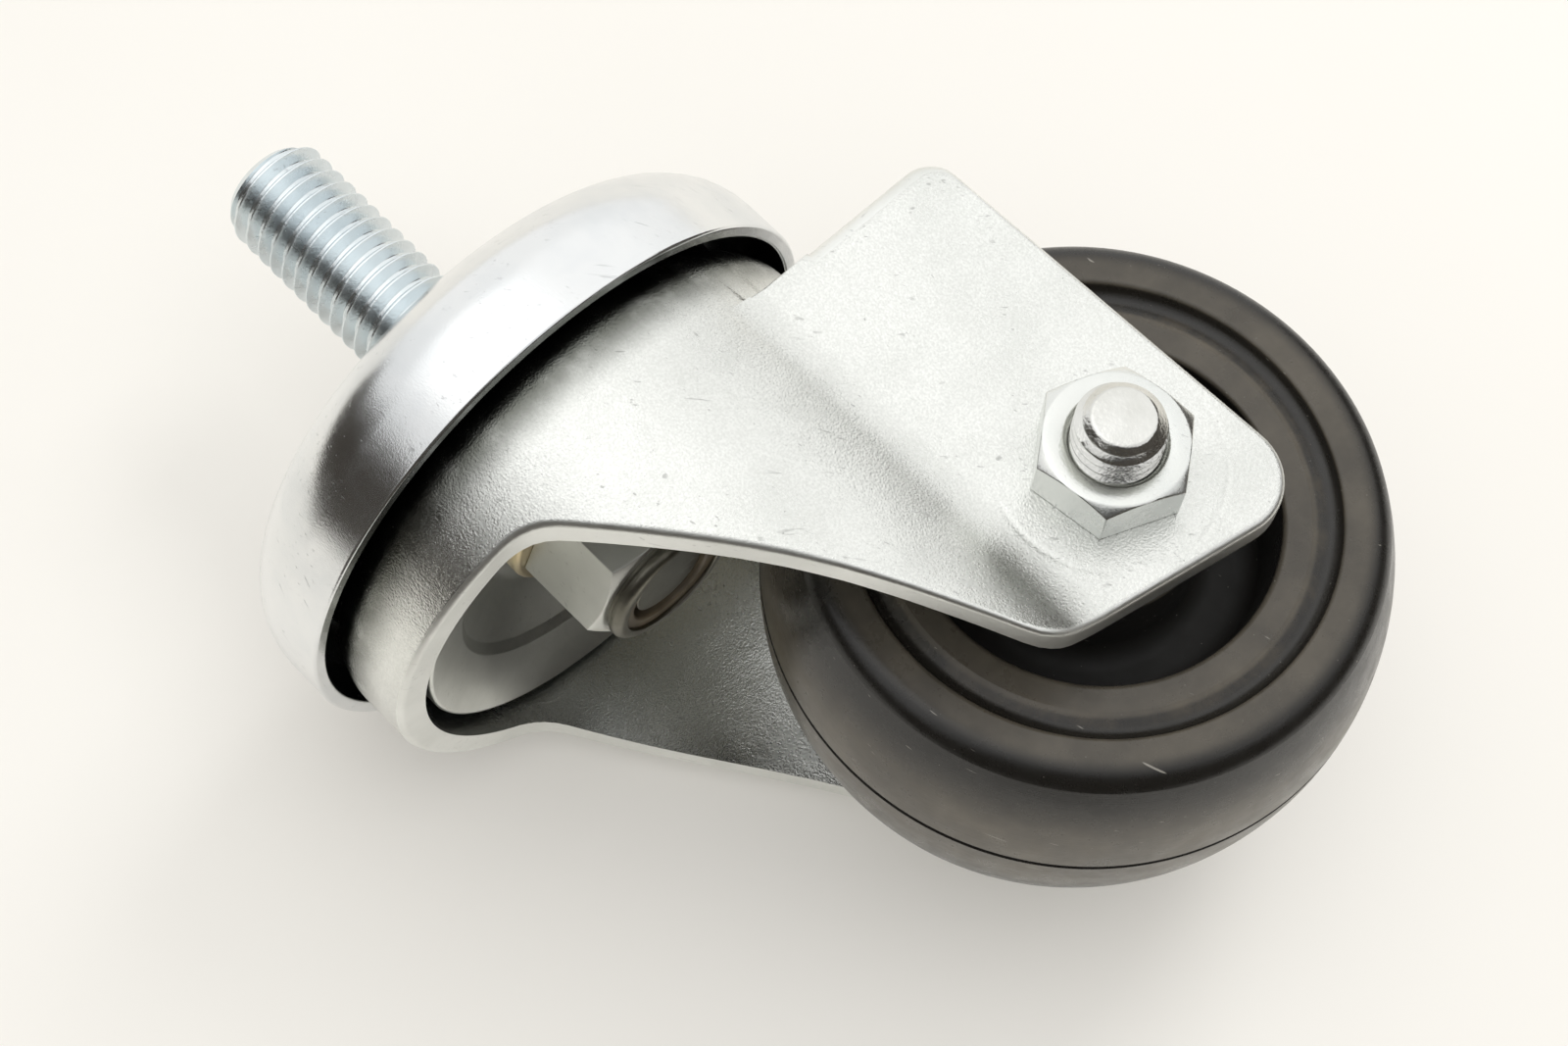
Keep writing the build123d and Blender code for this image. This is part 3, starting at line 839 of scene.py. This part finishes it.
dish = turned(
    "lower_race_dressed",
    [
        (3.95, DISH_TOP, 0),
        (9.5, DISH_TOP, 1.5),
        (14.4, -13.637, 0.8),
        (15.1, -14.337, 0.8),
        (20.05, -16.317, 0.3),
        (20.05, -17.717, 0.3),
        (15.1, -15.737, 0.5),
        (14.4, -15.037, 0.5),
        (9.5, DISH_UNDER, 1.5),
        (3.95, DISH_UNDER, 0),
    ],
    160,
)
hand_over(dish, "lower_race", "head", "dish_zinc")
washer = turned(
    "kingpin_washer_dressed",
    [
        (3.95, DISH_UNDER, 0.2),
        (8.2, DISH_UNDER, 0.5),
        (8.2, WASHER_UNDER, 0.5),
        (3.95, WASHER_UNDER, 0.2),
    ],
    96,
)
hand_over(washer, "kingpin_washer", "head", "yellow_zinc")

# %% [markdown]
# ## Nuts and bolt
#
# A hexagon is a six-sided bar, faced and chamfered on a lathe. The same is done here: a six-sided cylinder is
# kept only where it lies inside a turned envelope that holds the chamfer and the bore, and its edges are broken.

# %% Hexagon helper
BROKEN_EDGE = 0.1
COUNTERSINK = 0.5
CHAMFER = 30  # degrees


def hexagon(name, flats, envelope, corner):
    """A hexagon standing on Z zero, inside a turned envelope, with a corner at an angle from +X."""
    height = max(up for across, up, bend in envelope)
    bpy.ops.object.select_all(action="DESELECT")
    bpy.ops.mesh.primitive_cylinder_add(vertices=6, radius=flats / sqrt(3), depth=height + 2)
    block = place(bpy.context.object, (0, 0, height / 2), (0, 0, corner - 30))
    block.name = name
    cut(block, turned(name + "_envelope", envelope, 96), "INTERSECT")
    return break_edges(block, BROKEN_EDGE)


def faced(flats, height, bore):
    """The envelope of a faced hexagon: chamfered on its far side, with a countersunk bore if it has one."""
    wide = flats / sqrt(3) + 0.2
    circle = flats / 2 - 0.1
    fall = (wide - circle) * tan(radians(CHAMFER))
    inner = [(0, 0, 0), (0, height, 0)]
    if bore:
        inner = [(bore, 0, 0), (bore, height - COUNTERSINK, 0), (bore + COUNTERSINK, height, 0)]
    return inner + [(circle, height, 0), (wide, height - fall, 0), (wide, 0, 0)]


# %% Axle nut and bolt
AXLE_FLATS = 11
AXLE_TURN = 37  # degrees, to a corner of the nut and of the bolt's head
NUT_HEIGHT = 4.0
HEAD_HEIGHT = 4.8

nut = hexagon("axle_nut_dressed", AXLE_FLATS, faced(AXLE_FLATS, NUT_HEIGHT, 3.4), AXLE_TURN)
place(nut, (AXLE.x, -PLATE_FACE, AXLE.z), (90, 0, 0))
hand_over(nut, "axle_nut", "fork", "nut_zinc")

bolt = threaded(
    "axle_bolt_dressed",
    3.5,
    1.0,
    -9.5,
    10.0,
    [(0, 7.6, 0), (2.4, 7.6, 0.5), (3.5, 6.5, 0.3), (3.5, -7, 0), (0, -7, 0)],
)
shank = turned("shank", [(0, -6.5, 0), (2.85, -6.5, 0), (3.45, -7.5, 0), (3.45, -39, 0), (0, -39, 0)], 64)
cut(bolt, shank, "UNION")
head = hexagon("bolt_head", AXLE_FLATS, faced(AXLE_FLATS, HEAD_HEIGHT, 0), AXLE_TURN)
place(head, (0, 0, -2 * PLATE_FACE), (180, 0, 0))
cut(bolt, head, "UNION")
place(bolt, (AXLE.x, -PLATE_FACE, AXLE.z), (90, 0, 0))
hand_over(bolt, "axle_bolt", "fork", "bolt_zinc")

# %% [markdown]
# The lock nut is higher than the axle nut and ends in a collar, which the maker rolls over a ring of nylon. The ring
# grips the thread so that the nut can't shake loose. The collar is turned and joined to a hexagon, and the ring is a
# piece of its own, because it is another material.

# %% Lock nut and its nylon ring
LOCK_FLATS = 13
LOCK_TURN = -51.4  # degrees, to a corner
HEX_HEIGHT = 8.0
SHADED_COLLAR = -22.36  # the height below which the collar gets painted shade

lock = hexagon("kingpin_nut_dressed", LOCK_FLATS, faced(LOCK_FLATS, HEX_HEIGHT, 3.95), LOCK_TURN)
collar = turned(
    "collar",
    [
        (5.3, 7.7, 0),
        (5.8, 7.7, 0),
        (5.8, 8.4, 0.15),
        (6.2, 8.4, 0.2),
        (6.2, 9.5, 0.7),
        (5.0, 9.5, 0.1),
        (5.0, 9.2, 0.1),
        (5.3, 9.2, 0),
    ],
    96,
)
cut(lock, collar, "UNION")
place(lock, (0, 0, WASHER_UNDER), (180, 0, 0))
hand_over(lock, "kingpin_nut", "head", "lock_zinc")
# painted shade on the collar, standing for its shadow and the fork's dark inside seen in it
refinish(lock, lambda spot: spot.z < SHADED_COLLAR, "shaded_zinc")
ring = turned(
    "nut_insert_dressed",
    [(3.95, -22.337, 0.1), (5.3, -22.337, 0), (5.3, -23.537, 0), (3.95, -23.537, 0.3)],
    96,
)
hand_over(ring, "nut_insert", "head", "nylon")

# %% [markdown]
# ## The wheel
#
# The wheel is one moulding with a crowned tread, a thin parting line, a raised ring on each side, a cove, an inner
# ring and a deep recess round the hub. Half of its section is drawn from the parting line to the bore and mirrored,
# so both sides match, and the whole is spun about the axle.

# %% Wheel section
TREAD = 25.0
CROWN = 31.9  # the radius that the tread is crowned to
SEAM = 0.3  # depth and half width of the parting line
SIDE = 12.45

tread_arc = [SEAM + 1.09 * k for k in range(11)]
near_half = [(y, TREAD - CROWN + sqrt(CROWN**2 - y**2), 0) for y in tread_arc] + [
    (SIDE, 22.47, 2.1),
    (SIDE, 19.07, 0.45),
    (11.15, 18.87, 1.0),
    (11.65, 16.77, 0.25),
    (11.65, 14.57, 0.5),
    (4.2, 13.67, 1.9),
    (4.2, 9.06, 1.9),
    (16.5, 8.56, 0.4),
    (16.5, 5.06, 0.3),
]
far_half = [(-y, r, bend) for y, r, bend in reversed(near_half)]
section = rounded([(0, TREAD - SEAM, 0)] + near_half + far_half)
wheel = draw("wheel_dressed", [(AXLE.x, p.x, AXLE.z + p.y) for p in section])
bpy.ops.object.mode_set(mode="EDIT")
bpy.ops.mesh.select_all(action="SELECT")
bpy.ops.mesh.spin(steps=192, angle=2 * pi, center=AXLE, axis=(0, 1, 0))
bpy.ops.object.mode_set(mode="OBJECT")
close_up(wheel)
hand_over(wheel, "wheel", "wheel", "wheel_moulding")

# %% [markdown]
# ## Pieces that stay as they are
#
# The upper race, the balls and the axle sleeve are plain turned or round steel and mostly out of sight, so their
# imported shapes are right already. They only need greasy steel on them.

# %% Steel for the hidden pieces
for node, finish in (
    ("upper_race", "race_steel"),
    ("axle_sleeve", "race_steel"),
    ("upper_balls", "ball_steel"),
    ("lower_balls", "ball_steel"),
):
    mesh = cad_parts[node].data
    mesh.materials.clear()
    mesh.materials.append(bpy.data.materials[finish + "_finish"])
    print(node, "wears", finish)

# %% [markdown]
# ## Paper, light and camera
#
# The castor was photographed on pale paper, with bright windows beyond the picture's top, soft light overhead, and
# a dim room on the other sides. The paper touches the cup. Most of its tone is the light that falls on it, so it keeps
# the castor's shadow, and a little glow lifts it to the picture's white. Seen from behind, the paper lets the view
# through, so other views stay clear.

# %% Paper
PAPER_GLOW = 0.18  # the share of the paper's tone that doesn't depend on light

up = Vector((0, -1, -0.054)).normalized()
across = Vector((0.72, 0.037, -0.693)).normalized()
away = up.cross(across)
touch = Vector((0, 25.95, -11)) / 1000
lowest = min(up.dot(vertex.co) for vertex in cup.data.vertices)
touch += up * (lowest - up.dot(touch))
bpy.ops.object.select_all(action="DESELECT")
bpy.ops.mesh.primitive_plane_add(size=3)
paper = bpy.context.object
paper.name = "paper"
paper.rotation_euler = up.to_track_quat("Z", "Y").to_euler()
paper.location = touch
bpy.ops.object.transform_apply(location=True, rotation=True, scale=True)
material = bpy.data.materials.new("paper")
material.use_nodes = True
tree = material.node_tree
tree.nodes.clear()
spot = put(tree, "ShaderNodeTexCoord").outputs["Object"]
fibre = shades(tree, grain(tree, spot, 60, 3), [(0.3, (0.875, 0.852, 0.800)), (0.7, (0.892, 0.871, 0.822))])
matt = put(tree, "ShaderNodeBsdfDiffuse", {"Color": fibre}).outputs[0]
glow = put(tree, "ShaderNodeEmission", {"Color": (1.0, 0.985, 0.955, 1), "Strength": 1.0}).outputs[0]
rays = put(tree, "ShaderNodeLightPath")
bounced = maths(tree, "ADD", rays.outputs["Is Glossy Ray"], rays.outputs["Is Transmission Ray"])
seen = maths(tree, "ADD", rays.outputs["Is Camera Ray"], bounced)
share = maths(tree, "MULTIPLY", seen, PAPER_GLOW)
lifted = put(tree, "ShaderNodeMixShader", {0: share, 1: matt, 2: glow}).outputs[0]
clear = put(tree, "ShaderNodeBsdfTransparent").outputs[0]
behind = put(tree, "ShaderNodeNewGeometry").outputs["Backfacing"]
sheet = put(tree, "ShaderNodeMixShader", {0: behind, 1: lifted, 2: clear}).outputs[0]
put(tree, "ShaderNodeOutputMaterial", {"Surface": sheet})
paper.data.materials.append(material)
print("paper touches", tuple(round(1000 * c, 1) for c in touch))

# %% [markdown]
# Metal shows its surroundings more than its own colour. A white room all round would leave it flat, so a dark screen
# stands on the paper outside the picture, in place of the dim room. Only reflections see it: it is far simpler than
# furniture, and it takes no light from the paper.

# %% Dark screen outside the picture
# Each post: degrees from the picture's right, distance and height in millimetres.
screen_edge = [
    (148, 220, 60),
    (160, 220, 90),
    (172, 300, 180),
    (186, 450, 370),
    (205, 600, 420),
    (225, 300, 250),
    (245, 145, 140),
    (270, 125, 140),
    (295, 135, 140),
    (320, 220, 200),
    (345, 400, 280),
    (380, 600, 330),
    (412, 600, 330),
]


def over_paper(turn, distance, height):
    """A point so many degrees from the picture's right, so far out, and so high over the paper, in millimetres."""
    flat = across * cos(radians(turn)) + away * sin(radians(turn))
    return up * up.dot(touch) + (flat * distance + up * height) / 1000


top_line = draw("screen_top", [over_paper(*stop) for stop in screen_edge], closed=False)
screen = draw("screen", [over_paper(turn, distance, 0) for turn, distance, height in screen_edge], closed=False)
top_line.select_set(True)
bpy.ops.object.join()
bpy.ops.object.mode_set(mode="EDIT")
bpy.ops.mesh.select_mode(type="EDGE")
bpy.ops.mesh.select_all(action="SELECT")
bpy.ops.mesh.bridge_edge_loops()
bpy.ops.object.mode_set(mode="OBJECT")
screen.visible_camera = False
screen.visible_diffuse = False
screen.visible_shadow = False
material = bpy.data.materials.new("screen")
material.use_nodes = True
tree = material.node_tree
surface = tree.nodes["Principled BSDF"]
surface.inputs["Roughness"].default_value = 0.9
spot = put(tree, "ShaderNodeTexCoord").outputs["Object"]
weave = shades(tree, grain(tree, spot, 40, 2), [(0.3, (0.035, 0.030, 0.026)), (0.7, (0.070, 0.062, 0.054))])
tree.links.new(weave, surface.inputs["Base Color"])
screen.data.materials.append(material)
print("screen has", len(screen.data.polygons), "panels")

# %% [markdown]
# The dome is given twice. Reflections see pale walls, a brighter wall beyond the picture's top, a window pane high up
# on the left, and the dark side of the room. Everything else is lit by a soft light overhead, which gives the paper
# its broad shadow, and by one lamp that reflections don't see. Splitting the two keeps the metal's highlights below
# white while the paper is fully lit.

# %% Surroundings and lamp
LAMP_DISTANCE = 0.6
LAMP_SIZE = 0.22
LAMP_WATTS = 0.8


def towards(turn, height):
    """The way to a place in the surroundings: degrees from the picture's right, and above the paper."""
    flat = across * cos(radians(turn)) + away * sin(radians(turn))
    return flat * cos(radians(height)) + up * sin(radians(height))


world = bpy.data.worlds.new("studio")
bpy.context.scene.world = world
world.use_nodes = True
tree = world.node_tree
tree.nodes.clear()
way = put(tree, "ShaderNodeTexCoord").outputs["Generated"]


def patch(turn, height, whole, none):
    """A soft round patch of the surroundings: whole within some degrees of a place, and none beyond more."""
    lean = put(tree, "ShaderNodeVectorMath", {0: way, 1: towards(turn, height)}, operation="DOT_PRODUCT")
    return span(tree, lean.outputs["Value"], cos(radians(none)), cos(radians(whole)))


rays = put(tree, "ShaderNodeLightPath")
walls = mixed(tree, patch(90, 20, 35, 75), (0.92, 0.92, 0.92), (1.04, 1.04, 1.03))
walls = mixed(tree, patch(68, 48, 20, 36), walls, (1.14, 1.14, 1.13))
pane = mixed(tree, patch(142, 64, 16, 30), walls, (1.42, 1.42, 1.41))
room = mixed(tree, patch(272, 25, 30, 46), pane, (0.05, 0.05, 0.05))
light = mixed(tree, patch(0, 90, 10, 45), (0.46, 0.445, 0.41), (2.24, 2.24, 2.26))
sky = mixed(tree, rays.outputs["Is Glossy Ray"], light, room)
sky = mixed(tree, rays.outputs["Is Camera Ray"], sky, (0.94, 0.93, 0.90))
air = put(tree, "ShaderNodeBackground", {"Color": sky, "Strength": 1.0}).outputs[0]
put(tree, "ShaderNodeOutputWorld", {"Surface": air})

MIDDLE = Vector((0.012, 0, -0.03))
bpy.ops.object.light_add(type="AREA", location=MIDDLE + LAMP_DISTANCE * towards(55, 52))
lamp = bpy.context.object
lamp.name = "window_lamp"
lamp.data.shape = "SQUARE"
lamp.data.size = LAMP_SIZE
lamp.visible_glossy = False
lamp.data.energy = LAMP_WATTS
lamp.rotation_euler = (MIDDLE - lamp.location).to_track_quat("-Z", "Y").to_euler()
print("lamp at", tuple(round(c, 2) for c in lamp.location))

# %% [markdown]
# The camera stands where the photograph was taken from: its place, its turn and its lens were worked out from how
# the castor's sizes appear in the picture.

# %% Camera
PICTURE_WIDTH = 1600  # pixels
FOCAL_LENGTH = 3005.3  # pixels
SENSOR = 36

right = Vector((0.7169, -0.0491, -0.6954))
down = Vector((-0.6184, 0.4156, -0.6669))
forward = right.cross(down).normalized()
stand = Vector((-65.69, -213.7, -88.87)) / 1000
bpy.ops.object.camera_add()
camera = bpy.context.object
camera.name = "camera"
camera.data.sensor_width = SENSOR
camera.data.lens = SENSOR * FOCAL_LENGTH / PICTURE_WIDTH
camera.data.clip_start = 0.01
turn = Matrix((right, -down, -forward)).transposed().to_4x4()
camera.matrix_world = Matrix.Translation(stand) @ turn
bpy.context.scene.camera = camera
bpy.context.scene.view_settings.view_transform = "Standard"
print("camera looks along", tuple(round(c, 3) for c in forward))
